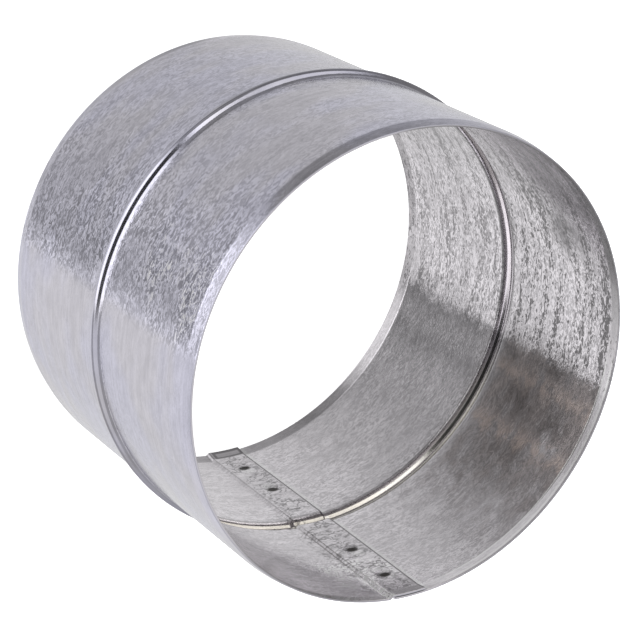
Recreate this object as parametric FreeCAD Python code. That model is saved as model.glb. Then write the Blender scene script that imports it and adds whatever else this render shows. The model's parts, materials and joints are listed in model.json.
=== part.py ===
import FreeCAD, Part
import math
import os

# Duct connector: a strip of galvanised sheet rolled into a sleeve, lapped and spot-welded along its
# length, with a stop bead rolled round its middle and both ends rolled in a little.
# Millimetres and degrees. The axis is +Z, and the lower rim stands on Z = 0.

# Driving dimensions: the sleeve
WALL_DIAMETER = 124.0
SLEEVE_LENGTH = 102.0
SHEET_THICKNESS = 0.6

# Driving dimensions: the stop bead, a round crown on two straight flanks
BEAD_HEIGHT = 1.5
BEAD_FLANK_ANGLE = 42.0
BEAD_TIGHTEST_RADIUS = 0.45

# Driving dimensions: the lead-in lip at each end
LIP_LENGTH = 3.6
LIP_INSET = 0.6

# Driving dimensions: the lapped seam, where one edge of the strip steps in under the other
SEAM_ANGLE = -80.0
LAP_WIDTH = 9.1
LAP_CLEARANCE = 0.15
JOGGLE_RUN = 1.2
JOGGLE_EDGE_CLEARANCE = 0.35
JOGGLE_STEPS = 4

# Driving dimensions: the spot welds
WELDS_PER_SIDE = 2
WELD_END_DISTANCE = 12.6
WELD_PITCH = 16.7
WELD_NUGGET_DIAMETER = 3.0
WELD_MARK_DIAMETER = 5.0
WELD_MARK_DEPTH = 0.18

# Depths below the outside of the wall: where the lap's inner sheet starts, and where it ends
WALL_RADIUS = WALL_DIAMETER / 2
INNER_SHEET_DEPTH = SHEET_THICKNESS + LAP_CLEARANCE
LAP_DEPTH = INNER_SHEET_DEPTH + SHEET_THICKNESS

# The bead's crown is wide enough to keep its tightest radius at the bottom of the lap
BEAD_CROWN_RADIUS = BEAD_TIGHTEST_RADIUS + LAP_DEPTH
BEAD_FLANK = math.radians(BEAD_FLANK_ANGLE)
BEAD_LEVEL = SLEEVE_LENGTH / 2

# The angle by which the lips lean in from the wall
LIP_SLOPE = math.atan2(LIP_INSET, LIP_LENGTH)

# Angles round the axis where each stretch of the rolled strip starts and ends
DEGREES_PER_MM = math.degrees(1 / WALL_RADIUS)
OUTER_EDGE_ANGLE = SEAM_ANGLE - LAP_WIDTH / 2 * DEGREES_PER_MM
INNER_EDGE_ANGLE = SEAM_ANGLE + LAP_WIDTH / 2 * DEGREES_PER_MM
JOGGLE_END_ANGLE = OUTER_EDGE_ANGLE - JOGGLE_EDGE_CLEARANCE * DEGREES_PER_MM
JOGGLE_START_ANGLE = JOGGLE_END_ANGLE - JOGGLE_RUN * DEGREES_PER_MM
FULL_TURN = 360.0
HALF_TURN = 180.0

ORIGIN = FreeCAD.Vector(0, 0, 0)
AXIS = FreeCAD.Vector(0, 0, 1)


def spot(radius, level):
    """Point of the sheet's section, which is drawn in the half plane of +X and Z."""
    return FreeCAD.Vector(radius, 0, level)


def on_circle(centre, radius, angle):
    """Point of a circle in the section, at an angle in radians from +X towards +Z."""
    return centre + spot(radius * math.cos(angle), radius * math.sin(angle))


def line(start, end):
    return Part.LineSegment(start, end).toShape()


def folds(corners):
    """Straight stretches of the section from each corner to the next."""
    return [line(start, end) for start, end in zip(corners, corners[1:])]


def rim_radius(depth):
    """Radius at which a face of the sheet, parallel to its outside, meets the flat-cut rim."""
    return WALL_RADIUS - LIP_INSET - depth / math.cos(LIP_SLOPE)


def lip_level(depth):
    """Height above the lower rim at which such a face of the sheet bends from the lip to the wall."""
    return LIP_LENGTH + depth * math.tan(LIP_SLOPE / 2)


def bead_foot_level(depth):
    """Height at which the bead's lower flank, tangent to its crown, leaves such a face of the wall."""
    crown_radius = BEAD_CROWN_RADIUS - depth
    flank_height = BEAD_HEIGHT - crown_radius * (1 - math.cos(BEAD_FLANK))
    return BEAD_LEVEL - crown_radius * math.sin(BEAD_FLANK) - flank_height / math.tan(BEAD_FLANK)


def sheet_line(depth):
    """One face of the sheet in section, parallel to its outside: two mirrored halves and the crown."""
    wall = WALL_RADIUS - depth
    crown = spot(WALL_RADIUS + BEAD_HEIGHT - BEAD_CROWN_RADIUS, BEAD_LEVEL)
    crown_radius = BEAD_CROWN_RADIUS - depth
    lower = [
        spot(rim_radius(depth), 0),
        spot(wall, lip_level(depth)),
        spot(wall, bead_foot_level(depth)),
        on_circle(crown, crown_radius, -BEAD_FLANK),
    ]
    upper = [spot(corner.x, SLEEVE_LENGTH - corner.z) for corner in lower]
    crest = Part.Arc(lower[-1], on_circle(crown, crown_radius, 0), upper[-1]).toShape()
    return folds(lower) + [crest] + folds(upper)


def sheet_section(depth, angle):
    """Closed outline of the sheet with its outside at a depth, turned to an angle round the axis."""
    inside = depth + SHEET_THICKNESS
    rims = [
        line(spot(rim_radius(depth), level), spot(rim_radius(inside), level))
        for level in (0, SLEEVE_LENGTH)
    ]
    edges = Part.sortEdges(sheet_line(depth) + sheet_line(inside) + rims)[0]
    outline = Part.Wire(edges)
    outline.rotate(ORIGIN, AXIS, angle)
    return outline


def stretch(depth, start, end):
    """Stretch of the rolled strip between two angles, with its outside at a depth."""
    return Part.Face(sheet_section(depth, start)).revolve(ORIGIN, AXIS, end - start)


def joggle():
    """Stretch where the strip steps in, along a smooth S, by one sheet and the lap's clearance."""
    outlines = []
    for step in range(JOGGLE_STEPS + 1):
        share = step / JOGGLE_STEPS
        depth = INNER_SHEET_DEPTH * (1 - math.cos(math.pi * share)) / 2
        angle = JOGGLE_START_ANGLE + share * (JOGGLE_END_ANGLE - JOGGLE_START_ANGLE)
        outlines.append(sheet_section(depth, angle))
    return Part.makeLoft(outlines, True)


def weld_levels():
    """Heights of the spot welds, counted in from each rim."""
    from_rim = [WELD_END_DISTANCE + WELD_PITCH * count for count in range(WELDS_PER_SIDE)]
    return from_rim + [SLEEVE_LENGTH - distance for distance in from_rim]


def weld_nugget(level):
    """Fused metal between the middles of the two sheets, which joins them across the lap."""
    radius = WELD_NUGGET_DIAMETER / 2
    inner_middle = WALL_RADIUS - INNER_SHEET_DEPTH - SHEET_THICKNESS / 2
    outward = FreeCAD.Vector(1, 0, 0)
    nugget = Part.makeCylinder(radius, INNER_SHEET_DEPTH, spot(inner_middle, level), outward)
    return nugget.rotate(ORIGIN, AXIS, SEAM_ANGLE)


def weld_marks(level):
    """Round-nosed dents that the two electrodes leave, one on each side of the lap."""
    nose = (WELD_MARK_DIAMETER ** 2 / 4 + WELD_MARK_DEPTH ** 2) / (2 * WELD_MARK_DEPTH)
    outside = Part.makeSphere(nose, spot(WALL_RADIUS - WELD_MARK_DEPTH + nose, level))
    inside = Part.makeSphere(nose, spot(nose - WELD_MARK_DEPTH - WALL_RADIUS + LAP_DEPTH, level))
    outside.rotate(ORIGIN, AXIS, SEAM_ANGLE)
    inside.rotate(ORIGIN, AXIS, SEAM_ANGLE + HALF_TURN)
    return [outside, inside]


def sleeve():
    """The whole strip: round from the inner edge, stepped in, and back under its outer edge."""
    turn = stretch(0, INNER_EDGE_ANGLE, JOGGLE_START_ANGLE + FULL_TURN)
    outer_lap = stretch(0, OUTER_EDGE_ANGLE, INNER_EDGE_ANGLE)
    inner_lap = stretch(INNER_SHEET_DEPTH, JOGGLE_END_ANGLE, INNER_EDGE_ANGLE)
    nuggets = [weld_nugget(level) for level in weld_levels()]
    welded = turn.multiFuse([outer_lap, joggle(), inner_lap] + nuggets)
    marks = [mark for level in weld_levels() for mark in weld_marks(level)]
    return welded.cut(marks)


os.makedirs("parts", exist_ok=True)
sleeve().exportStep("parts/connector_sleeve.step")
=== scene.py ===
# %% [markdown]
# # A galvanised duct connector
#
# The connector is one strip of zinc-coated steel. It is rolled into a sleeve, its two edges are lapped and
# spot-welded, a stop bead is rolled round its middle, and both ends are rolled in a little so that they
# find their way into a duct. This lesson models that strip, gives it its zinc finish and lights it.
#
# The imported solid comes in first. It is the fixed frame: every size and place below is in metres, in the
# same frame, with the sleeve standing on its lower rim and its axis along +Z.

# %% Load the frame
import json
import math

import bmesh
import bpy
from mathutils import Matrix, Vector


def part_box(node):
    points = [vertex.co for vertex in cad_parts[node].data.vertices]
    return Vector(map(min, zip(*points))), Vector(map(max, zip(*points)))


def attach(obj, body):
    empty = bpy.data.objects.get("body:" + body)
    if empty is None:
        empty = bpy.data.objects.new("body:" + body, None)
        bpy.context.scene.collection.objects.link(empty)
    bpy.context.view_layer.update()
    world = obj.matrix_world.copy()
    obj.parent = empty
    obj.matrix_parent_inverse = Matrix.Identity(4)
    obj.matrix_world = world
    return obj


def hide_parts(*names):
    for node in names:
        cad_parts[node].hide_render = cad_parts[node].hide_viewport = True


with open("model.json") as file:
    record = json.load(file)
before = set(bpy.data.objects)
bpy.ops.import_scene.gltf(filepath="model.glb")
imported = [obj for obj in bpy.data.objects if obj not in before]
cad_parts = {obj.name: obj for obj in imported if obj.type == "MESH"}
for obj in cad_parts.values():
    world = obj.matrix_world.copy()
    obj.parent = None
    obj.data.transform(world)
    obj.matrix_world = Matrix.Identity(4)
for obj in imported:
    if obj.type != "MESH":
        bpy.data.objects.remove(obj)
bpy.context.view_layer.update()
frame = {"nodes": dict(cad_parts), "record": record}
print("frame nodes:", sorted(frame["nodes"]))

# %% [markdown]
# ## The camera
#
# The photograph looks down into the sleeve from its open end, with a long lens and the picture turned, so
# the sleeve seems to lie on its side. The camera is placed by its bearing and height seen from the sleeve's
# middle, then rolled about its own line of sight. Aiming a little past the middle sets the framing.

# %% Place the camera
SLEEVE = "connector_sleeve"
sleeve_low, sleeve_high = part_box(SLEEVE)
SLEEVE_LENGTH = sleeve_high.z - sleeve_low.z
SLEEVE_MIDDLE = Vector((0, 0, SLEEVE_LENGTH / 2))

CAMERA_LENS_MM = 133.5
CAMERA_DISTANCE = 0.6194
CAMERA_BEARING = math.radians(153.34)
CAMERA_HEIGHT = math.radians(54.49)
CAMERA_ROLL = math.radians(121.66)
AIM_RIGHT = 0.0019
AIM_UP = -0.00336


def direction(bearing, height):
    """Unit vector from the sleeve towards a bearing round the axis and a height above the horizon."""
    level = math.cos(height)
    return Vector((level * math.cos(bearing), level * math.sin(bearing), math.sin(height)))


camera = bpy.data.objects.new("camera", bpy.data.cameras.new("camera"))
camera.data.lens = CAMERA_LENS_MM
towards_camera = direction(CAMERA_BEARING, CAMERA_HEIGHT)
upright = (-towards_camera).to_track_quat("-Z", "Y").to_matrix()
turned = upright @ Matrix.Rotation(CAMERA_ROLL, 3, "Z")
aim = SLEEVE_MIDDLE + turned @ Vector((AIM_RIGHT, AIM_UP, 0))
camera.matrix_world = Matrix.Translation(aim + towards_camera * CAMERA_DISTANCE) @ turned.to_4x4()
bpy.context.scene.collection.objects.link(camera)
bpy.context.scene.camera = camera
print("camera at", [round(part, 4) for part in camera.location])

# %% [markdown]
# ## The sheet in section
#
# Cut the sleeve from its axis outwards, and the cut shows a thin bent line: a lip, a straight wall, the
# bead and the same again in mirror image. It could be drawn as a curve, but a few vertices with rounded
# corners are easier to measure. Only the lower half is drawn, from the rim to the crest of the bead. The
# crest is a vertex spun about the middle of its arc, the corners are vertex bevels, and the mirror adds the
# upper half.
#
# Rows of vertices lie close together where the electrodes of the spot welder will dent the sheet, and wide
# apart elsewhere, because a straight wall needs none.

# %% Sizes of the sheet
MM = 0.001
spigot = next(mount for mount in frame["record"]["mounts"] if mount["name"] == "upper_spigot")
WALL_RADIUS = spigot["dims"]["r_mm"] * MM
SHEET_THICKNESS = 0.6 * MM
LIP_LENGTH = 3.6 * MM
LIP_INSET = 0.6 * MM
LIP_SLOPE = math.atan2(LIP_INSET, LIP_LENGTH)
BEAD_HEIGHT = 1.5 * MM
BEAD_CROWN_RADIUS = 1.8 * MM
BEAD_FLANK = math.radians(42)
BEAD_LEVEL = SLEEVE_LENGTH / 2
WELD_END_DISTANCE = 12.6 * MM
WELD_PITCH = 16.7 * MM
WELD_DISTANCES = (WELD_END_DISTANCE, WELD_END_DISTANCE + WELD_PITCH)
WELD_MARK_RADIUS = 2.5 * MM
WELD_BAND = 3.6 * MM
print("wall", round(WALL_RADIUS / MM, 2), "mm from the axis")

# %% Draw the lower half of the section
LIP_ROUNDING = 0.45 * MM
FOOT_ROUNDING = 0.9 * MM
ROUNDING_STEPS = 6
CROWN_STEPS = 6
WIDE_ROW = 5.0 * MM
CLOSE_ROW = 0.45 * MM
TOUCHING = 0.001 * MM


def lower_half(section):
    """Edges of the sheet's outside from the rim to the bead's crest, in the half plane of +X and Z."""
    flank_height = BEAD_HEIGHT - BEAD_CROWN_RADIUS * (1 - math.cos(BEAD_FLANK))
    flank_top = BEAD_LEVEL - BEAD_CROWN_RADIUS * math.sin(BEAD_FLANK)
    foot = flank_top - flank_height / math.tan(BEAD_FLANK)
    band_ends = [weld + side for weld in WELD_DISTANCES for side in (-WELD_BAND, WELD_BAND)]
    places = [(WALL_RADIUS - LIP_INSET, 0), (WALL_RADIUS, LIP_LENGTH)]
    places += [(WALL_RADIUS, band_end) for band_end in band_ends]
    places += [(WALL_RADIUS, foot), (WALL_RADIUS + flank_height, flank_top)]
    corners = [section.verts.new((radius, 0, level)) for radius, level in places]
    for start, end in zip(corners, corners[1:]):
        section.edges.new((start, end))
    crown = Vector((WALL_RADIUS + BEAD_HEIGHT - BEAD_CROWN_RADIUS, 0, BEAD_LEVEL))
    bmesh.ops.spin(
        section, geom=[corners[-1]], cent=crown, axis=(0, -1, 0), angle=BEAD_FLANK, steps=CROWN_STEPS
    )
    for corner, rounding in ((corners[1], LIP_ROUNDING), (corners[-2], FOOT_ROUNDING)):
        bmesh.ops.bevel(
            section, geom=[corner], offset=rounding, segments=ROUNDING_STEPS, profile=0.5,
            affect="VERTICES", material=-1,
        )


def in_weld_band(edge):
    """True if an edge of the straight wall lies where the electrodes press."""
    middle = (edge.verts[0].co.z + edge.verts[1].co.z) / 2
    return any(abs(middle - weld) < WELD_BAND for weld in WELD_DISTANCES)


def add_rows(section):
    """Divides the long edges, closely where the electrodes press and widely elsewhere."""
    for edge in section.edges[:]:
        spacing = CLOSE_ROW if in_weld_band(edge) else WIDE_ROW
        cuts = math.ceil(edge.calc_length() / spacing) - 1
        if cuts > 0:
            bmesh.ops.subdivide_edges(section, edges=[edge], cuts=cuts)


strip = bmesh.new()
lower_half(strip)
add_rows(strip)
bmesh.ops.translate(strip, verts=strip.verts[:], vec=(0, 0, -BEAD_LEVEL))
bmesh.ops.mirror(strip, geom=strip.verts[:] + strip.edges[:], axis="Z", merge_dist=TOUCHING)
bmesh.ops.translate(strip, verts=strip.verts[:], vec=(0, 0, BEAD_LEVEL))
print("section:", len(strip.verts), "vertices in", len(strip.edges), "edges")

# %% [markdown]
# ## The thickness of the sheet
#
# The strip is 0.6 mm thick all over, so the inside is the outside moved along its own normals. A Solidify
# modifier could do that at the end. Here the section gets its thickness first, because the two faces of the
# sheet are then known by name, and because both edges of the lap come out as clean cut ends.
#
# Each vertex keeps two notes in layers of its own, and the operators copy them as the strip grows.
# `outward` is the normal of the section, and `strip` is the place on the flat sheet: how far along it, how
# high, and which face.

# %% Give the section its thickness
OUTER_FACE, INNER_FACE = 0.0, 1.0
outward = strip.verts.layers.float_vector.new("outward")
flat_place = strip.verts.layers.float_vector.new("strip")


def section_normal(vert):
    """Outward normal of the section at a vertex; a rim is cut level, so there it is horizontal."""
    if len(vert.link_edges) == 1:
        return Vector((1 / math.cos(LIP_SLOPE), 0, 0))
    ends = sorted((edge.other_vert(vert) for edge in vert.link_edges), key=lambda end: end.co.z)
    below, above = (vert.co - ends[0].co).normalized(), (ends[1].co - vert.co).normalized()
    along = (below + above).normalized()
    return Vector((along.z, 0, -along.x)) / along.dot(above)


for vert in strip.verts:
    vert[outward] = section_normal(vert)
    vert[flat_place] = (0, vert.co.z, OUTER_FACE)
thickened = bmesh.ops.extrude_edge_only(strip, edges=strip.edges[:])
for vert in (part for part in thickened["geom"] if isinstance(part, bmesh.types.BMVert)):
    vert.co -= vert[outward] * SHEET_THICKNESS
    vert[flat_place].z = INNER_FACE
print("thick section:", len(strip.faces), "faces")

# %% [markdown]
# ## Rolling the strip
#
# A spin sweeps the section round the axis. It runs in single steps, like the rolls of the machine, because
# the end of the strip has to step in by one sheet and a little clearance, along a smooth S, and slide under
# its own beginning. After each step the newest section moves inwards along its normals by as much as the
# sheet has sunk, so the bead and the lips step in with the wall.

# %% Sizes of the lap
SEAM = math.radians(-80)
LAP_WIDTH = 9.1 * MM
LAP_CLEARANCE = 0.15 * MM
JOGGLE_RUN = 1.2 * MM
JOGGLE_EDGE_CLEARANCE = 0.35 * MM
LAP_STEP = SHEET_THICKNESS + LAP_CLEARANCE

FULL_TURN = 2 * math.pi * WALL_RADIUS
JOGGLE_END = FULL_TURN - JOGGLE_EDGE_CLEARANCE
JOGGLE_START = JOGGLE_END - JOGGLE_RUN
STRIP_LENGTH = FULL_TURN + LAP_WIDTH
OUTER_EDGE = SEAM - LAP_WIDTH / 2 / WALL_RADIUS
print("strip of", round(STRIP_LENGTH / MM, 1), "mm by", round(SLEEVE_LENGTH / MM, 1), "mm")

# %% Roll the strip
LAP_STEPS = 22
WALL_STEPS = 230
JOGGLE_STEPS = 12
STRETCHES = (
    (LAP_WIDTH, LAP_STEPS),
    (JOGGLE_START, WALL_STEPS),
    (JOGGLE_END, JOGGLE_STEPS),
    (STRIP_LENGTH, LAP_STEPS),
)


def sunk(along):
    """How far the sheet lies below the outside of the wall, at a distance along the strip."""
    share = min(max((along - JOGGLE_START) / JOGGLE_RUN, 0), 1)
    return LAP_STEP * (1 - math.cos(math.pi * share)) / 2


def outwards(vert, along):
    """The section's normal at a vertex, turned to where that part of the strip lies round the axis."""
    turn = Matrix.Rotation(OUTER_EDGE + along / WALL_RADIUS, 3, "Z")
    return turn @ vert[outward]


def roll(section, start, end):
    """Sweeps the section one step along the strip and returns the new section."""
    swept = bmesh.ops.spin(
        strip, geom=section, cent=(0, 0, 0), axis=(0, 0, 1), angle=(end - start) / WALL_RADIUS, steps=1
    )
    section = swept["geom_last"]
    for vert in (part for part in section if isinstance(part, bmesh.types.BMVert)):
        vert.co -= outwards(vert, end) * (sunk(end) - sunk(start))
        vert[flat_place].x = end
    return section


bmesh.ops.rotate(strip, verts=strip.verts[:], cent=(0, 0, 0), matrix=Matrix.Rotation(OUTER_EDGE, 3, "Z"))
newest = strip.verts[:] + strip.edges[:] + strip.faces[:]
place = 0.0
for stretch_end, steps in STRETCHES:
    stretch_start = place
    for step in range(1, steps + 1):
        target = stretch_start + (stretch_end - stretch_start) * step / steps
        newest = roll(newest, place, target)
        place = target
bmesh.ops.recalc_face_normals(strip, faces=strip.faces[:])
open_edges = [edge for edge in strip.edges if not edge.is_manifold]
print("rolled strip:", len(strip.faces), "faces,", len(open_edges), "open edges")

# %% [markdown]
# ## Spot welds and cut edges
#
# Four welds hold the lap. Two electrodes squeeze the sheets at each, so both faces of the lap carry a
# shallow round dent, and the metal that was squeezed out stands as a faint ring about it. A boolean with a
# sphere would leave slivers, so the close rows of vertices are simply pushed in. The edges where the sheet
# was cut get a very small bevel, which catches a thin line of light.

# %% Press the weld marks
WELD_ALONG = LAP_WIDTH / 2
WELD_MARK_DEPTH = 0.18 * MM
WELD_RING_HEIGHT = 0.03 * MM
WELD_LEVELS = [*WELD_DISTANCES, *(SLEEVE_LENGTH - distance for distance in WELD_DISTANCES)]


def pressed(distance):
    """Depth of an electrode's mark at a distance from its middle: a round dent in a low ring."""
    share = distance / WELD_MARK_RADIUS
    if share < 1:
        return WELD_MARK_DEPTH * (1 - share ** 2)
    ring = 1 - (distance - WELD_MARK_RADIUS) / (WELD_BAND - WELD_MARK_RADIUS)
    return -WELD_RING_HEIGHT * math.sin(math.pi * max(ring, 0))


def press_welds():
    """Pushes both faces of the lap in at each weld and returns the number of vertices moved."""
    moved = 0
    for vert in strip.verts:
        along, level, face = vert[flat_place]
        across = (along if face == OUTER_FACE else along - FULL_TURN) - WELD_ALONG
        reach = min(math.hypot(across, level - weld) for weld in WELD_LEVELS)
        if reach < WELD_BAND:
            into_sheet = -1 if face == OUTER_FACE else 1
            vert.co += outwards(vert, along) * into_sheet * pressed(reach)
            moved += 1
    return moved


print("weld marks:", press_welds(), "vertices moved")

# %% Ease the cut edges and finish the piece
CUT_EDGE_ANGLE = math.radians(60)
CUT_EDGE_BEVEL = 0.12 * MM
CUT_EDGE_STEPS = 2
SHARP_ANGLE = math.radians(20)

cut_edges = [edge for edge in strip.edges if edge.calc_face_angle(0) > CUT_EDGE_ANGLE]
bmesh.ops.bevel(
    strip, geom=cut_edges, offset=CUT_EDGE_BEVEL, segments=CUT_EDGE_STEPS, profile=0.5,
    affect="EDGES", material=-1,
)
for face in strip.faces:
    face.smooth = True
sleeve_mesh = bpy.data.meshes.new("rolled_sleeve")
strip.to_mesh(sleeve_mesh)
strip.free()
sleeve_mesh.set_sharp_from_angle(angle=SHARP_ANGLE)
sleeve = bpy.data.objects.new("rolled_sleeve", sleeve_mesh)
bpy.context.scene.collection.objects.link(sleeve)
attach(sleeve, "root")
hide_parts(SLEEVE)
print("sleeve:", len(sleeve_mesh.vertices), "vertices,", len(sleeve_mesh.polygons), "faces")

# %% [markdown]
# ## Writing finishes as expressions
#
# A finish is mostly arithmetic on patterns, and arithmetic is easier to read as an expression than as a
# picture of nodes. `Wire` holds one socket of a node tree. Adding or multiplying wires adds Math nodes, and
# `node` makes every other kind: its settings come first, because some of them change which sockets it has.


# %% Wires
class Wire:
    """One output socket. Arithmetic with numbers and other wires adds Math nodes to its tree."""

    def __init__(self, socket):
        self.socket = socket
        self.tree = socket.id_data

    @staticmethod
    def node(tree, kind, settings=None, sockets=None, output=0):
        """Adds a node, sets it up, fills its sockets with values or wires, and returns one output."""
        made = tree.nodes.new("ShaderNode" + kind)
        for name, value in (settings or {}).items():
            if name == "stops":
                Wire.set_stops(made.color_ramp, value)
            else:
                setattr(made, name, value)
        for key, value in (sockets or {}).items():
            if isinstance(value, Wire):
                tree.links.new(value.socket, made.inputs[key])
            else:
                made.inputs[key].default_value = value
        return Wire(made.outputs[output]) if made.outputs else None

    @staticmethod
    def set_stops(ramp, stops):
        """Gives a colour ramp its stops, each a position and a shade of grey."""
        while len(ramp.elements) < len(stops):
            ramp.elements.new(1.0)
        for element, (position, shade) in zip(ramp.elements, stops):
            element.position = position
            element.color = (shade, shade, shade, 1.0)

    def math(self, operation, *others):
        """One Math node on this wire and any others."""
        return Wire.node(self.tree, "Math", {"operation": operation}, dict(enumerate((self, *others))))

    def __add__(self, other):
        return self.math("ADD", other)

    def __sub__(self, other):
        return self.math("SUBTRACT", other)

    def __rsub__(self, other):
        return self.math("MULTIPLY_ADD", -1.0, other)

    def __mul__(self, other):
        return self.math("MULTIPLY", other)

    def __or__(self, other):
        return self.math("MAXIMUM", other)

    def __abs__(self):
        return self.math("ABSOLUTE")

    def rise(self, low, high):
        """0 at low, 1 at high and a smooth rise between; low may be the larger of the two."""
        settings = {"interpolation_type": "SMOOTHSTEP"}
        return Wire.node(self.tree, "MapRange", settings, {"Value": self, "From Min": low, "From Max": high})

    def blend(self, first, second):
        """Colour between two others, with this wire as the share of the second."""
        return Wire.node(self.tree, "Mix", {"data_type": "RGBA"}, {0: self, 6: first, 7: second}, 2)


def empty_tree(owner):
    """Node tree of a new material or world, cleared."""
    owner.use_nodes = True
    owner.node_tree.nodes.clear()
    return owner.node_tree


print("wires ready")

# %% [markdown]
# ## Places on the flat sheet
#
# The zinc froze on the sheet while it was flat, so its marks are drawn out along the strip and bend with
# it. Object coordinates would cut straight through the rolled wall. The finish reads the `strip` layer
# instead: the distance along the strip, the level, and which face of the sheet it is. The patterns then
# meet only at the lap, as they do on the real sleeve. A few helpers turn angles round the axis, which are
# in degrees, and ranges of a value into masks.

# %% Read the place on the sheet
zinc = bpy.data.materials.new("galvanised_sheet")
zinc_tree = empty_tree(zinc)
flat = Wire.node(zinc_tree, "Attribute", {"attribute_name": "strip"}, output="Vector")
along, level, inside = (Wire.node(zinc_tree, "SeparateXYZ", None, {"Vector": flat}, axis) for axis in "XYZ")
outside = 1 - inside
from_bead = abs(level - BEAD_LEVEL)
lap = along - inside * FULL_TURN


def at_angle(degrees):
    """Distance along the strip of an angle round the axis."""
    return (math.radians(degrees) - OUTER_EDGE) * WALL_RADIUS


def sector(start, full, fading, end):
    """Mask of an arc: it rises between the first two angles and falls between the last two."""
    return along.rise(at_angle(start), at_angle(full)) * along.rise(at_angle(end), at_angle(fading))


def stretch(value, start, end, fade):
    """Mask of the values between two millimetre marks, with soft ends."""
    first, last, soft = start * MM, end * MM, fade * MM
    return value.rise(first - soft, first + soft) * value.rise(last + soft, last - soft)


def near(angle, height, reach, core):
    """Mask of a round place at an angle and a level, fading from its core to its reach, in millimetres."""
    apart = Wire.node(zinc_tree, "CombineXYZ", None, {0: along - at_angle(angle), 1: level - height * MM})
    gap = Wire.node(zinc_tree, "VectorMath", {"operation": "LENGTH"}, {0: apart}, "Value")
    return gap.rise(reach * MM, core * MM)


print("places on the sheet read by", len(zinc_tree.nodes), "nodes")

# %% [markdown]
# ## Patterns in the zinc
#
# Hot-dipped zinc has ripples and small crystals about a millimetre across, streaks from the rolls, and
# clouds where it froze sooner or later. All are Noise textures with different lengths and widths. A Voronoi
# texture would give the large flowers of older galvanising, which this sheet does not have. The third axis
# of the noise keeps the two faces of the sheet apart, so each has its own pattern.

# %% Grain of the zinc
FACES_APART = 7.0
NOISE_MIDDLE = 0.5


def grain(length, width, detail=2.0, wander=0.0, seed=0.0):
    """Noise with spots of a length along the strip and a width across it, in millimetres."""
    scale = (1 / (length * MM), 1 / (width * MM), FACES_APART)
    sockets = {0: flat, 1: scale, 2: (seed, seed, seed)}
    spot = Wire.node(zinc_tree, "VectorMath", {"operation": "MULTIPLY_ADD"}, sockets)
    sockets = {"Vector": spot, "Scale": 1.0, "Detail": detail, "Distortion": wander}
    return Wire.node(zinc_tree, "TexNoise", None, sockets)


def swing(pattern):
    """A pattern counted from its middle, so that it adds about as often as it takes away."""
    return pattern - NOISE_MIDDLE


ripples = grain(length=1.15, width=0.65, detail=2.5, wander=1.2)
flecks = grain(length=1.9, width=1.0, detail=1.5, wander=1.5, seed=5)
crystals = grain(length=5.5, width=3.0, detail=3, seed=3)
streaks = grain(length=45, width=0.9, seed=9)
clouds = grain(length=34, width=18, seed=17)
bands = grain(length=30, width=3.5, seed=51)
blotches = grain(length=12, width=9, seed=41)
mottle = grain(length=5, width=4, detail=3, seed=81)
print("patterns in the zinc:", len(zinc_tree.nodes), "nodes so far")

# %% [markdown]
# ## Zones and relief
#
# The rolls burnish the bead and the lips, so the ripples are almost pressed out of them. On the walls they
# tilt the reflection this way and that. A bump this low, a few hundredths of a millimetre, would be lost in
# a mesh, and a stronger one would blur every reflection, so flecks of light and dark zinc carry the rest.
# They show most on one side of the outside, less on the calm side next to it and on the lips, and not at
# all on the bead.

# %% Zones of the sleeve
BEAD_ZONE = (3.2 * MM, 1.6 * MM)
LIP_ZONE = (46.9 * MM, 47.7 * MM)
FACE_ZONE = (0.8, 1.0)
FRONT_HALF = (52 * MM, 58 * MM)
RIGHT_SIDE = (-8, 0, 54, 80)
bead = from_bead.rise(*BEAD_ZONE)
lips = from_bead.rise(*LIP_ZONE)
faces = abs(inside * 2 - 1).rise(*FACE_ZONE)
front = level.rise(*FRONT_HALF)
right_side = sector(*RIGHT_SIDE) * inside
print("bead zone to", BEAD_ZONE[0] / MM, "mm, lips from", LIP_ZONE[0] / MM, "mm off the middle")

# %% Relief
RIPPLE_HEIGHT = 0.050 * MM
CRYSTAL_RELIEF = 0.4
BURNISH = 0.8
relief = ripples + crystals * CRYSTAL_RELIEF
keeps_relief = (1 - (bead | lips) * BURNISH) * faces
sockets = {"Strength": keeps_relief, "Distance": RIPPLE_HEIGHT, "Height": relief}
normal = Wire.node(zinc_tree, "Bump", None, sockets)
print("ripples", round(RIPPLE_HEIGHT / MM, 3), "mm high")

# %% Flecks
FLECK_EDGE = (0.41, 0.59)
FLECKED_SIDE = (128, 170, 175, 179)
CALM_START, CALM_FULL = 175, 181
FLECKS_EVERYWHERE = 0.42
FLECKS_MORE_OUTSIDE = 0.9
FLECKS_LESS_OUTSIDE = 0.30
FLECKS_MORE_INSIDE = 0.4
FLECKS_LESS_ON_LIPS = 0.5
CLOUD_EDGE = (0.3, 0.6)
CLOUD_LEAST, CLOUD_GAIN = 0.4, 0.4
BLOTCH_LEAST, BLOTCH_GAIN = 0.8, 0.5
flecked_side = sector(*FLECKED_SIDE)
calm_side = along.rise(at_angle(CALM_START), at_angle(CALM_FULL))
outer_amount = flecked_side * FLECKS_MORE_OUTSIDE - calm_side * FLECKS_LESS_OUTSIDE
amount = outside * outer_amount + right_side * FLECKS_MORE_INSIDE + FLECKS_EVERYWHERE
cloudy = clouds.rise(*CLOUD_EDGE) * CLOUD_GAIN + CLOUD_LEAST
blotchy = blotches.rise(*CLOUD_EDGE) * BLOTCH_GAIN + BLOTCH_LEAST
amount = amount * (1 - lips * FLECKS_LESS_ON_LIPS) * (1 - bead) * cloudy * blotchy
fleck_swing = swing(flecks.rise(*FLECK_EDGE))
fleck_shade = fleck_swing * amount
print("flecks at", FLECKS_EVERYWHERE, "of their strength, and more on the flecked side")

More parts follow.
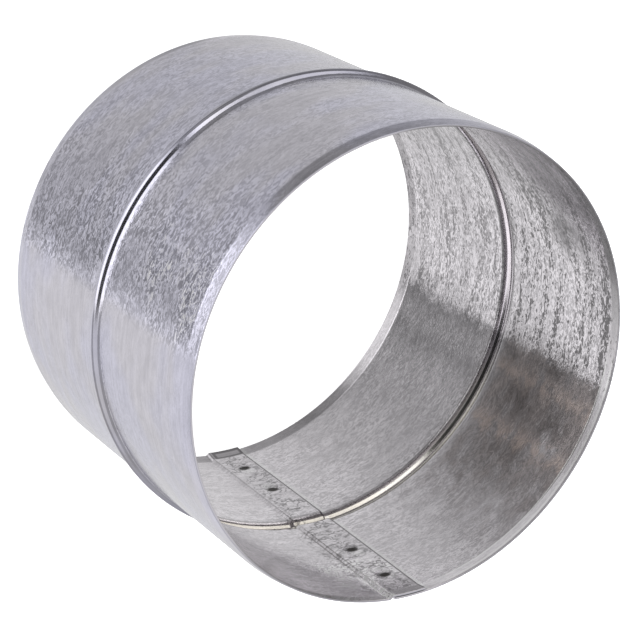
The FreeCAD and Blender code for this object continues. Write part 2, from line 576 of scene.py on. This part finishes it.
# %% [markdown]
# ## Weld marks and the lap
#
# Each spot weld leaves a burnt pit, whose dark is partly painted shade in the dent, and beside it a pale
# gleam in a thin dark ring, where the zinc has melted and run. The lap shows a painted shadow along its
# free edge with a thin painted highlight beyond it, painted shade in a weak crease where the sheet steps in
# and at the lap's front end, a dark frame at the rear lip, and scribbles where the two sheets were rubbed
# together. The pits are real dents in the mesh, and the rest is colour. Both halves of the sleeve are
# marked alike, so the distance from the bead places a weld in either half.

# %% Weld pits and rings
PIT_STRETCH = 0.75
PIT_EDGE = (1.7 * MM, 0.8 * MM)
RING_SHIFT = 2.4 * MM
RING_LINE = (2.3, 2.6, 0.2)
GLEAM_EDGE = (2.2 * MM, 1.4 * MM)
WELD_WANDER = 1.0 * MM
RING_WANDER = 0.6
END_ROW, BEAD_ROW = (BEAD_LEVEL - distance for distance in WELD_DISTANCES)


def from_point(row, stretched=1.0):
    """Distance on the flat lap from a point on its middle line, the same in both halves of the sleeve."""
    sockets = {0: (lap - WELD_ALONG) * stretched, 1: from_bead - row}
    apart = Wire.node(zinc_tree, "CombineXYZ", None, sockets)
    return Wire.node(zinc_tree, "VectorMath", {"operation": "LENGTH"}, {0: apart}, "Value")


uneven = swing(ripples) * WELD_WANDER
weld_gap = from_point(END_ROW, PIT_STRETCH).math("MINIMUM", from_point(BEAD_ROW, PIT_STRETCH)) + uneven
ring_gap = from_point(END_ROW - RING_SHIFT).math("MINIMUM", from_point(BEAD_ROW + RING_SHIFT))
ring_gap = ring_gap + uneven * RING_WANDER
# The pit's dark colour is burnt zinc and painted shade in the dent.
pit = weld_gap.rise(*PIT_EDGE)
weld_ring = stretch(ring_gap, *RING_LINE) * faces
weld_gleam = ring_gap.rise(*GLEAM_EDGE) * faces
print("weld rows", [round(row / MM, 1) for row in (END_ROW, BEAD_ROW)], "mm from the bead")

# %% Lines of the lap
LAP_MM = LAP_WIDTH / MM
LAP_SPAN = (0, LAP_MM, 0.15)
FREE_EDGE_SHADOW_LINE = (LAP_MM - 0.45, LAP_MM + 0.2, 0.12)
FREE_EDGE_HIGHLIGHT_LINE = (LAP_MM + 0.7, LAP_MM + 1.5, 0.2)
CREASE_LINE = (-0.75, -0.45, 0.12)
CREASE_TOP = (54 * MM, 50 * MM)
LAP_END_SHADE = (88 * MM, 95 * MM)
FRAME_TOP = (4.1 * MM, 3.7 * MM)
FRAME_GAP_ACROSS = (0.9, LAP_MM - 0.9, 0.3)
FRAME_GAP_UP = (1.2, 2.9, 0.3)
on_lap = stretch(lap, *LAP_SPAN) * inside
# Painted shadow along the free edge, painted highlight beyond it, painted shade in the crease and at the
# lap's front end.
free_edge_shadow = stretch(lap, *FREE_EDGE_SHADOW_LINE) * inside
free_edge_highlight = stretch(along, *FREE_EDGE_HIGHLIGHT_LINE) * inside
crease = stretch(lap, *CREASE_LINE) * inside * level.rise(*CREASE_TOP)
lap_end_shade = on_lap * level.rise(*LAP_END_SHADE)
frame_gap = stretch(lap, *FRAME_GAP_ACROSS) * stretch(level, *FRAME_GAP_UP)
lip_frame = on_lap * level.rise(*FRAME_TOP) * (1 - frame_gap)
print("lap", round(LAP_MM, 1), "mm wide")

# %% Scribbles, and worn zinc with a painted highlight, on the lap
SCRIBBLED = (0, 8.6, 0.8)
SCRIBBLED_BESIDE = (-4.5, 0, 0.8)
BESIDE_SHARE = 0.8
PATCH_EDGE = (0.40, 0.52)
ROUND_WELD = (5.0 * MM, 3.5 * MM)
ROUND_WELD_SHARE = 0.7
LINE_EDGE = (0.065, 0.03)
WEAR_AND_HIGHLIGHT_LINE = (-1.9, 0.2, 0.3)
WEAR_AND_HIGHLIGHT_FRONT = (76 * MM, 92 * MM)
WEAR_AND_HIGHLIGHT_EDGE = (0.46, 0.52)
beside_lap = stretch(lap, *SCRIBBLED_BESIDE) * front * BESIDE_SHARE
scribble_band = (stretch(lap, *SCRIBBLED) + beside_lap) * inside * (1 - lips)
round_welds = weld_gap.rise(*ROUND_WELD) * ROUND_WELD_SHARE
patches = grain(length=7, width=5, detail=1, seed=61).rise(*PATCH_EDGE) | round_welds
wandering = swing(grain(length=2.6, width=1.5, detail=1.5, wander=0.8, seed=23))
scribbles = abs(wandering).rise(*LINE_EDGE) * scribble_band * patches
# The pale zinc along the crease near the front rim is wear and a painted highlight on the bend.
wear_and_highlight = stretch(lap, *WEAR_AND_HIGHLIGHT_LINE) * inside * level.rise(*WEAR_AND_HIGHLIGHT_FRONT)
wear_and_highlight = wear_and_highlight * grain(length=1.6, width=1.6, seed=71).rise(*WEAR_AND_HIGHLIGHT_EDGE)
print("lap scribbled, its crease worn near the front rim")

# %% [markdown]
# ## Specks and stain
#
# The right of the bore is peppered with dark specks, in rows along the strip, and a thumb has left a dull
# spot among them. Below them the front half has a brown stain with a ragged border, two rubbed streaks and
# blots; the stain is partly dirt and partly a painted dark reflection, and the blots add painted shade. A
# ramp along the strip gives the stain its strength at each angle. The ripples and the mottle push its border
# about first, so it doesn't run as a straight line.

# %% Specks
SPECK_SIDE = (-13, -4, 54, 80)
SPECK_EDGE = (0.55, 0.585)
SPECKS_AT_REAR = 0.75
SPECKS_IN_BANDS = 0.7
THUMB_EDGE = (0.3, 0.6)
speck_share = front * (1 - SPECKS_AT_REAR) + SPECKS_AT_REAR
speck_side = sector(*SPECK_SIDE) * inside * (1 - bead) * speck_share
spots = grain(length=1.55, width=0.72, detail=3, wander=1.1, seed=31) + swing(bands) * SPECKS_IN_BANDS
specks = spots.rise(*SPECK_EDGE) * speck_side
thumb = near(angle=29, height=81.5, reach=7.5, core=1.5) * inside * mottle.rise(*THUMB_EDGE)
print("specks from", SPECK_SIDE[0], "to", SPECK_SIDE[-1], "degrees")

# %% Stain and painted dark reflection
DIRT_AND_SHADE_START, DIRT_AND_SHADE_END = -66, -2
DIRT_AND_SHADE_STOPS = (
    (-66, 0.0), (-46, 0.4), (-36, 0.65), (-27, 0.75), (-18, 1.0), (-13, 0.85), (-8, 1.0), (-5, 0.0),
)
RUBBED_STOPS = ((-31, 0.0), (-27.5, 1.0), (-24, 0.0), (-17, 0.0), (-13, 0.8), (-10, 0.0))
RUBBED_EDGE = (0.36, 0.58)
STAIN_AND_SHADE_EDGE = (0.0, 1.1)
RIPPLE_PUSH = 0.10
MOTTLE_PUSH = 0.12
DIRT_AND_SHADE_GROUND = 1.05
DIRT_AND_SHADE_MOTTLE = 2.0
DIRT_AND_SHADE_BLOTCHES = 1.4
dirt_and_shade_share = (along - at_angle(DIRT_AND_SHADE_START)) * (1 / (at_angle(DIRT_AND_SHADE_END) - at_angle(DIRT_AND_SHADE_START)))
dirt_and_shade_share = dirt_and_shade_share + swing(ripples) * RIPPLE_PUSH + swing(mottle) * MOTTLE_PUSH


def dirt_and_shade_profile(stops):
    """How dirty the inside is, with painted shade for a dark reflection; each stop is an angle and a
    strength.
    """
    places = [((angle - DIRT_AND_SHADE_START) / (DIRT_AND_SHADE_END - DIRT_AND_SHADE_START), strength) for angle, strength in stops]
    grey = Wire.node(zinc_tree, "ValToRGB", {"stops": places}, {"Fac": dirt_and_shade_share})
    return Wire.node(zinc_tree, "SeparateXYZ", None, {"Vector": grey}) * inside * (1 - lips)


# This mask is dirt and painted shade: it darkens both halves, and in the front half it brings in the brown.
dirt_and_shade = dirt_and_shade_profile(DIRT_AND_SHADE_STOPS)
rubbed = dirt_and_shade_profile(RUBBED_STOPS) * front * mottle.rise(*RUBBED_EDGE)
uneven_dirt_and_shade = swing(mottle) * DIRT_AND_SHADE_MOTTLE + swing(blotches) * DIRT_AND_SHADE_BLOTCHES + DIRT_AND_SHADE_GROUND
stain_and_shade = (dirt_and_shade * front * uneven_dirt_and_shade).rise(*STAIN_AND_SHADE_EDGE)
print("stain between", DIRT_AND_SHADE_START, "and", DIRT_AND_SHADE_END, "degrees")

# %% Blots with painted shade, and grit in the stain
BLOT_AND_SHADE_EDGE = (0.34, 0.56)
BLOT_AND_SHADE_DARKENS = 0.45
GRIT_GROUND = 1.03
GRIT_FLECKS = 0.35
blots_and_shade = (
    near(angle=-12, height=59, reach=6, core=1.5)
    | near(angle=-7.5, height=79, reach=5.5, core=1.5)
    | near(angle=-18, height=70, reach=11, core=2)
    | near(angle=-20, height=86, reach=10, core=2)
    | near(angle=-30, height=80, reach=7, core=1)
)
blots_and_shade = blots_and_shade * inside * front * mottle.rise(*BLOT_AND_SHADE_EDGE)
grit = fleck_swing * GRIT_FLECKS + swing(mottle) + GRIT_GROUND
grit = grit * (1 - blots_and_shade * BLOT_AND_SHADE_DARKENS)
print("stain gritty, and darker by", BLOT_AND_SHADE_DARKENS, "in the blots")

# %% [markdown]
# ## Painted shade and light, lips and bead
#
# Parts of the bore are darkened by painted shade: the upper right, the far side, and the front wall beside
# the lap, which is shaded above a slanting border. Along the front of the lap a painted light makes the zinc
# paler instead. Dark stretches of painted shade and thin lines of painted shade and painted highlight run
# along the lips and the bead. The lines are narrower than the rows of vertices on the wall, so they are
# colour and not shape.

# %% Painted shade in the bore
UPPER_SHADE = (19, 30, 60, 85)
UPPER_SHADE_LEVEL = (69 * MM, 80 * MM)
UPPER_BLOTCH_EDGE = (0.7, 0.35)
UPPER_BLOTCH_LEAST, UPPER_BLOTCH_GAIN = 0.6, 0.4
FAR_SHADE = (30, 46, 80, 100)
upper_blotches = blotches.rise(*UPPER_BLOTCH_EDGE) * UPPER_BLOTCH_GAIN + UPPER_BLOTCH_LEAST
# Painted shade on the upper right and the far side of the bore.
upper_painted_shade = sector(*UPPER_SHADE) * inside * level.rise(*UPPER_SHADE_LEVEL) * upper_blotches
far_painted_shade = sector(*FAR_SHADE) * inside
print("bore dull from", UPPER_SHADE[0], "to", FAR_SHADE[-1], "degrees")

# %% Painted shade on the front wall and painted light on the lap
FRONT_SHADE = (225, 236, 268, 274)
BORDER_ANGLE = 247
BORDER_SLANT = 1.54
BORDER_EDGE = (51 * MM, 57 * MM)
BORDER_WANDER = 8 * MM
FRONT_SHADE_LEVEL = (94 * MM, 76 * MM)
LAP_LIGHT = (262, 268, 283, 285)
LAP_LIGHT_LEVEL = (78, 94, 5)
border = level - (along - at_angle(BORDER_ANGLE)) * BORDER_SLANT + swing(mottle) * BORDER_WANDER
# Painted shade on the front wall above a slanting border, and painted light along the front of the lap.
front_painted_shade = border.rise(*BORDER_EDGE) * level.rise(*FRONT_SHADE_LEVEL) * sector(*FRONT_SHADE)
front_painted_shade = front_painted_shade * inside * front * (1 - bead)
lap_painted_light = sector(*LAP_LIGHT) * stretch(level, *LAP_LIGHT_LEVEL) * inside
print("front wall dull from", FRONT_SHADE[0], "to", FRONT_SHADE[-1], "degrees")

# %% Lips
UPPER_BORE = (51 * MM, 52 * MM)
LOWER_BORE = (51 * MM, 50 * MM)
DARK_RIGHT = (-8, 34, 100, 110)
DARK_LEFT = (222, 236, 256, 284)
DARK_BELOW = (20, 30, 60, 80)
DARK_BELOW_SHARE = 0.45
LOWER_RIGHT = (-74, -64, -4, 6)
FOLD_LINE = (46.95, 47.45, 0.15)
RIM_LINE = (49.6, 50.2, 0.15)
LIP_SHADE = (47.8, 49.2, 0.3)
LIP_SHADE_SHARE = 0.12
RIM_EDGE = (50.4 * MM, 50.7 * MM)
upper_bore = level.rise(*UPPER_BORE) * inside
lower_bore = level.rise(*LOWER_BORE) * inside
# Painted shade on the lips, on the right, the left and below.
lip_painted_shade = (sector(*DARK_RIGHT) | sector(*DARK_LEFT)) * upper_bore * lips
lip_painted_shade = lip_painted_shade | sector(*DARK_BELOW) * lower_bore * lips * DARK_BELOW_SHARE
lower_right = upper_bore * sector(*LOWER_RIGHT)
# Painted highlights along the fold and the rim, and painted shade on the lip between them and at its edge.
lip_painted_highlights = (stretch(from_bead, *FOLD_LINE) | stretch(from_bead, *RIM_LINE)) * lower_right
lip_shade = (stretch(from_bead, *LIP_SHADE) * LIP_SHADE_SHARE | from_bead.rise(*RIM_EDGE)) * lower_right
print("lips marked on the right, the left and below")

# %% Bead
BEAD_RIGHT = (-30, -8, 100, 140)
BEAD_LINED = (-8, 0, 100, 140)
LOWER_FOOT_LINE = (47.6, 48.5, 0.15)
UPPER_FOOT_LINE = (53.6, 54.2, 0.15)
BEAD_TOP_SHADE = (-10, 0, 112, 132)
bead_right = sector(*BEAD_RIGHT) * inside
# Painted shade lines at the feet of the bead on the right of the bore.
bead_shade_lines = stretch(level, *LOWER_FOOT_LINE) + stretch(level, *UPPER_FOOT_LINE)
bead_shade_lines = bead_shade_lines * bead_right * sector(*BEAD_LINED)
# Painted shade on the top of the outer bead, dimming what it mirrors.
bead_top_shade = bead * outside * sector(*BEAD_TOP_SHADE)
print("bead lined from", BEAD_LINED[0], "to", BEAD_LINED[-1], "degrees")

# %% [markdown]
# ## Colour and gloss
#
# The outside has a lilac cast and the bore a rosy one, and the bore's zinc is lighter as a painted light.
# Light and dark patterns and the zones of painted shade and light scale the clean colour, which keeps its
# hue. The marks are then blended over it one by one: the stain with its painted dark reflection, the warm
# bead, the painted shade and highlights of the lips and bead, specks, the lap's marks with their painted
# shadow, shade and highlight, and last the burnt pits with painted shade in them. Each row of `MARKS` is a
# mask times its strength, and the colour that it brings in. Zinc is a metal all over, so only colour and
# roughness change.

# %% Clean zinc
ZINC_LILAC = (0.608, 0.600, 0.704, 1.0)
ZINC_GREY = (0.642, 0.624, 0.682, 1.0)
ZINC_BORE_LIGHTENED = (0.800, 0.772, 0.806, 1.0)
LILAC_EDGE = (0.4, 0.6)
LILAC_ON_FLECKS = 0.8
lilac = clouds.rise(*LILAC_EDGE) | flecked_side * LILAC_ON_FLECKS
# The bore's zinc is rosy and lighter than the outside's; its lightness is a painted light.
clean = inside.blend(lilac.blend(ZINC_GREY, ZINC_LILAC), ZINC_BORE_LIGHTENED)
print("clean zinc mixed")

# %% Light and dark zinc
# Each row is a mask and how much it darkens: the stain's mask with painted shade, then painted shade on the
# upper right, the outer bead's top, the right side, the far side, the lap's front end and the front wall, and
# the thumb's dull spot.
DARKENED_BY = (
    (dirt_and_shade, 0.62),
    (upper_painted_shade, 0.4),
    (bead_top_shade, 0.38),
    (right_side, 0.12),
    (far_painted_shade, 0.2),
    (lap_end_shade, 0.3),
    (thumb, 0.5),
    (front_painted_shade, 0.25),
)
# Painted light: the flecked side of the outside lighter towards the front and darker towards the rear, and
# the front of the lap paler.
LIGHTENED_BY = (
    (swing(front) * flecked_side * outside, 0.12),
    (lap_painted_light, 0.22),
)
FLECK_CONTRAST = 0.75
CRYSTAL_CONTRAST = 0.4
STREAK_CONTRAST = 0.3
CLOUD_CONTRAST = 0.25
pattern = fleck_shade * FLECK_CONTRAST + swing(crystals) * CRYSTAL_CONTRAST
pattern = pattern + swing(streaks) * STREAK_CONTRAST + swing(clouds) * CLOUD_CONTRAST
shade = pattern * faces + 1
for mask, strength in DARKENED_BY:
    shade = shade * (1 - mask * strength)
for mask, strength in LIGHTENED_BY:
    shade = shade * (mask * strength + 1)
shaded = Wire.node(zinc_tree, "VectorMath", {"operation": "SCALE"}, {0: clean, "Scale": shade})
print("zinc darkened by", len(DARKENED_BY), "masks and lightened by", len(LIGHTENED_BY))

# %% Marks over the zinc
PALE_ZINC_AND_HIGHLIGHT = (0.92, 0.92, 0.92, 1.0)
STAIN_AND_SHADE_BROWN = (0.255, 0.232, 0.232)
RUBBED_PINK = (0.51, 0.43, 0.40, 1.0)
BEAD_WARM = (0.80, 0.775, 0.715, 1.0)
LIP_DARK = (0.26, 0.255, 0.26, 1.0)
DARK_SPECK_AND_SHADE = (0.135, 0.13, 0.135, 1.0)
BURNT_AND_SHADED = (0.055, 0.05, 0.048, 1.0)
gritty_brown = Wire.node(zinc_tree, "VectorMath", {"operation": "SCALE"}, {0: STAIN_AND_SHADE_BROWN, "Scale": grit})
# Among the marks are the stain's painted dark reflection, painted shade on the lips and the bead's feet,
# painted highlights on the free edge and the lip, the free edge's painted shadow, painted shade in the
# crease, and painted shade in the weld pits.
MARKS = (
    (stain_and_shade * 0.95, gritty_brown),
    (rubbed * 0.7, RUBBED_PINK),
    (bead * inside * (1 - bead_right) * 0.8, BEAD_WARM),
    (bead_shade_lines * 0.7, LIP_DARK),
    (lip_painted_shade | lip_shade * 0.6, LIP_DARK),
    (specks * 0.9, DARK_SPECK_AND_SHADE),
    (scribbles * 0.68, DARK_SPECK_AND_SHADE),
    (weld_gleam * 0.35, PALE_ZINC_AND_HIGHLIGHT),
    (weld_ring * 0.45, DARK_SPECK_AND_SHADE),
    (wear_and_highlight, PALE_ZINC_AND_HIGHLIGHT),
    (free_edge_highlight * 0.6 | lip_painted_highlights * 0.85, PALE_ZINC_AND_HIGHLIGHT),
    (free_edge_shadow * 0.85 | crease * 0.3 | lip_frame * 0.64, DARK_SPECK_AND_SHADE),
    (pit, BURNT_AND_SHADED),
)
colour = shaded
for mask, paint in MARKS:
    colour = mask.blend(colour, paint)
print(len(MARKS), "marks over the zinc")

# %% Zinc shader
SATIN = 0.135
GRAIN_ROUGHENS = 0.08
PIT_ROUGHENS = 0.3
WEAR_ROUGHENS = 0.4
STAIN_ROUGHENS = 0.1
roughness = (swing(crystals) + swing(clouds)) * GRAIN_ROUGHENS + SATIN
roughness = roughness + pit * PIT_ROUGHENS + wear_and_highlight * WEAR_ROUGHENS + stain_and_shade * STAIN_ROUGHENS
shader = Wire.node(
    zinc_tree, "BsdfPrincipled", None,
    {"Base Color": colour, "Metallic": 1.0, "Roughness": roughness, "Normal": normal},
)
Wire.node(zinc_tree, "OutputMaterial", None, {"Surface": shader})
sleeve_mesh.materials.append(zinc)
print("zinc finish:", len(zinc_tree.nodes), "nodes")

# %% [markdown]
# ## The floor
#
# The sleeve stands on a sheet of white paper, so large that its edges are out of sight. A little light of
# its own keeps it as white as the paper of a studio, even under the sleeve. The studio's rings below take
# its place in reflections, so the floor itself is left out of them.

# %% Floor
FLOOR_SIZE = 4.0
PAPER_WHITE = (0.9, 0.9, 0.9, 1.0)
PAPER_GLOW = 0.75
WHITE = (1.0, 1.0, 1.0, 1.0)


def stage_piece(name, shape, material):
    """Turns a bmesh into an object of the stage."""
    mesh = bpy.data.meshes.new(name)
    shape.to_mesh(mesh)
    shape.free()
    mesh.materials.append(material)
    piece = bpy.data.objects.new(name, mesh)
    bpy.context.scene.collection.objects.link(piece)
    return piece


paper = bpy.data.materials.new("floor_paper")
shader = Wire.node(
    empty_tree(paper), "BsdfPrincipled", None,
    {"Base Color": PAPER_WHITE, "Roughness": 1.0, "Specular IOR Level": 0.0,
     "Emission Color": WHITE, "Emission Strength": PAPER_GLOW},
)
Wire.node(shader.tree, "OutputMaterial", None, {"Surface": shader})
floor_shape = bmesh.new()
bmesh.ops.create_grid(floor_shape, x_segments=1, y_segments=1, size=FLOOR_SIZE / 2)
floor = stage_piece("floor", floor_shape, paper)
floor.visible_glossy = False
print("floor", FLOOR_SIZE, "m wide")

# %% [markdown]
# ## The card in the bore
#
# A bright metal bore mirrors whatever lies below it. The lower right of this one mirrors something dark
# with a soft edge, so a round card lies in the bore, clear but for one dark patch. It is seen in
# reflections only. Painting the dark on the metal would look the same from here and wrong from every other
# side.

# %% Card in the bore
CARD_RADIUS = 58 * MM
CARD_LEVEL = 0.3 * MM
CARD_SEGMENTS = 96
PATCH_MIDDLE = (-6 * MM, -4 * MM, 0)
PATCH_SIZE = (29 * MM, 17 * MM)
PATCH_LIMIT = (15 * MM, 12 * MM)
PATCH_SIDE = (-4 * MM, 4 * MM)
SIDE_POINT = (3.2 * MM, -20 * MM, 0)
SIDE_NORMAL = (-0.213, 0.977, 0)
PATCH_SHARE = 0.6
PATCH_DARK = (0.06, 0.048, 0.04, 1.0)

card_paper = bpy.data.materials.new("card_paper")
card_tree = empty_tree(card_paper)
spot = Wire.node(card_tree, "TexCoord", None, None, "Object")
to_spot = Wire.node(card_tree, "VectorMath", {"operation": "SUBTRACT"}, {0: spot, 1: SIDE_POINT})
side = Wire.node(card_tree, "VectorMath", {"operation": "DOT_PRODUCT"}, {0: to_spot, 1: SIDE_NORMAL}, "Value")
middle = Wire.node(card_tree, "VectorMath", {"operation": "DISTANCE"}, {0: spot, 1: PATCH_MIDDLE}, "Value")
right = Wire.node(card_tree, "SeparateXYZ", None, {"Vector": spot}, "X")
patch = side.rise(*PATCH_SIDE) * middle.rise(*PATCH_SIZE) * right.rise(*PATCH_LIMIT) * PATCH_SHARE
dark = Wire.node(card_tree, "Emission", None, {"Color": PATCH_DARK, "Strength": 1.0})
clear = Wire.node(card_tree, "BsdfTransparent")
shader = Wire.node(card_tree, "MixShader", None, {0: patch, 1: clear, 2: dark})
Wire.node(card_tree, "OutputMaterial", None, {"Surface": shader})
card_shape = bmesh.new()
bmesh.ops.create_circle(card_shape, cap_ends=True, segments=CARD_SEGMENTS, radius=CARD_RADIUS)
bmesh.ops.translate(card_shape, verts=card_shape.verts[:], vec=(0, 0, CARD_LEVEL))
card = stage_piece("bore_card", card_shape, card_paper)
for ray in ("camera", "diffuse", "transmission", "shadow", "volume_scatter"):
    setattr(card, "visible_" + ray, False)
print("card of", CARD_RADIUS / MM, "mm in the bore")

# %% [markdown]
# ## The studio
#
# Metal looks like its surroundings, so the studio matters more here than the zinc. It could be a room with
# lamps and screens. Rings of brightness, each at one height of the world, are simpler: every wall, lip and
# flank of the bead mirrors just one of them. The strongest feature is an edge between a dark and a light
# part of the floor, and the bearings are counted from it. The camera itself sees plain white.

# %% Rings of the studio
EDGE_BEARING = 198.0
world = bpy.data.worlds.new("studio")
bpy.context.scene.world = world
studio_tree = empty_tree(world)
look = Wire.node(studio_tree, "TexCoord", None, None, "Generated")
x, y, z = (Wire.node(studio_tree, "SeparateXYZ", None, {"Vector": look}, axis) for axis in "XYZ")
round_share = (y.math("ARCTAN2", x) * (1 / math.tau) - EDGE_BEARING / 360).math("FRACT")
height = z.math("ARCSINE") * math.degrees(1)


def ring(*stops):
    """Brightness round the studio at one height; stops are degrees past the edge and a brightness."""
    places = [(angle / 360, brightness) for angle, brightness in stops]
    return Wire.node(studio_tree, "ValToRGB", {"stops": places}, {"Fac": round_share})


nadir_ring = ring(
    (0, 0.76), (21, 0.82), (110, 0.8), (141, 0.38), (190, 0.38), (237, 0.56), (261, 0.61), (300, 0.66),
    (357, 0.64), (360, 0.76),
)
floor_ring = ring(
    (0, 0.66), (4, 0.86), (41, 0.84), (65, 0.79), (113, 0.79), (185, 0.69), (209, 0.66), (233, 0.62),
    (281, 0.58), (305, 0.53), (356, 0.46), (360, 0.66),
)
low_ring = ring(
    (0, 0.95), (120, 0.9), (185, 0.5), (209, 0.4), (233, 0.33), (262, 0.34), (281, 0.48), (305, 1.05),
    (317, 1.75), (341, 1.75), (353, 1.3), (360, 0.95),
)
skirt_ring = ring(
    (0, 0.66), (9, 0.8), (24, 0.42), (47, 0.36), (110, 0.5), (190, 0.5), (212, 0.46), (252, 0.3), (271, 0.2),
    (290, 0.24), (303, 0.6), (310, 0.76), (329, 0.78), (349, 0.52), (360, 0.66),
)
horizon_ring = ring(
    (0, 0.3), (4, 0.4), (70, 0.45), (110, 0.4), (192, 0.4), (204, 0.32), (290, 0.32), (302, 1.7),
    (354, 1.7), (360, 0.3),
)
middle_ring = ring(
    (0, 0.9), (6, 0.75), (70, 0.75), (110, 0.4), (192, 0.4), (204, 1.5), (252, 1.5), (262, 0.25), (290, 0.3),
    (302, 1.7), (354, 1.7), (360, 0.9),
)
high_ring = ring(
    (0, 0.3), (6, 0.8), (70, 0.8), (110, 0.4), (192, 0.5), (204, 1.5), (282, 1.5), (291, 0.03),
    (356, 0.03), (360, 0.3),
)
print("seven rings counted from a bearing of", EDGE_BEARING, "degrees")

# %% Join the rings
ZENITH = (0.72, 0.72, 0.72, 1.0)
RING_HEIGHTS = (
    (-67, -62, floor_ring),
    (-49, -44, low_ring),
    (-41, -38.5, skirt_ring),
    (-29, -24, horizon_ring),
    (-3, 3, middle_ring),
    (10, 15, high_ring),
    (38, 52, ZENITH),
)
glow = nadir_ring
for below, above, next_ring in RING_HEIGHTS:
    glow = height.rise(below, above).blend(glow, next_ring)
glow = Wire.node(studio_tree, "LightPath", None, None, "Is Camera Ray").blend(glow, WHITE)
shader = Wire.node(studio_tree, "Background", None, {"Color": glow, "Strength": 1.0})
Wire.node(studio_tree, "OutputWorld", None, {"Surface": shader})
print("studio:", len(studio_tree.nodes), "nodes")

# %% [markdown]
# ## Lamps
#
# A large soft lamp overhead gives the floor its even light. Two narrow strips hang in the bore, each aimed
# at the rolled bead across from it: the bead's inner flank leans so far that it mirrors the opposite wall,
# and without them it would be a dark line instead of a bright one. Area lamps shine one way only, so the
# wall behind a strip doesn't see it. A lamp spreads its watts over its area, so a strip's power is worked
# out from its brightness and its size. The standard view keeps the tones as they are mixed.

# %% Hang the lamps
SOFTBOX_SIZE = 1.2
SOFTBOX_WATTS = 18
SOFTBOX_PLACE = Vector((0.2, -0.3, 1.6))
STRIP_COLOUR = (1.0, 0.97, 0.90)
WATTS_PER_AREA = math.pi


def hang_lamp(name, shape, place, towards, lengthwise):
    """Adds an area lamp that shines towards a point, with its length in a direction."""
    light = bpy.data.lights.new(name, "AREA")
    light.shape = shape
    back = (place - towards).normalized()
    across = back.cross(lengthwise).normalized()
    axes = Matrix((across.cross(back), across, back)).transposed()
    lamp = bpy.data.objects.new(name, light)
    lamp.matrix_world = Matrix.Translation(place) @ axes.to_4x4()
    lamp.visible_camera = False
    bpy.context.scene.collection.objects.link(lamp)
    return lamp


def hang_strip(name, start, end, lit, width, brightness):
    """Adds a strip lamp between two points, aimed at a third; places and width are in millimetres."""
    start, end, lit = Vector(start) * MM, Vector(end) * MM, Vector(lit) * MM
    lamp = hang_lamp(name, "RECTANGLE", (start + end) / 2, lit, end - start)
    lamp.data.size = (end - start).length
    lamp.data.size_y = width * MM
    lamp.data.energy = brightness * WATTS_PER_AREA * lamp.data.size * lamp.data.size_y
    lamp.data.color = STRIP_COLOUR
    lamp.visible_diffuse = False
    print(name, "gives", round(lamp.data.energy, 5), "W")


softbox = hang_lamp("overhead_softbox", "DISK", SOFTBOX_PLACE, Vector(), Vector((1, 0, 0)))
softbox.data.size = SOFTBOX_SIZE
softbox.data.energy = SOFTBOX_WATTS
softbox.visible_glossy = False
hang_strip(
    "bead_strip_left", start=(50, -9, 54), end=(21, 11, 76), lit=(10, -58, 50), width=8.5, brightness=0.95
)
hang_strip(
    "bead_strip_right", start=(-4, -35, 83), end=(36, -31, 54), lit=(52, 34, 50), width=7, brightness=0.33
)
bpy.context.scene.view_settings.view_transform = "Standard"
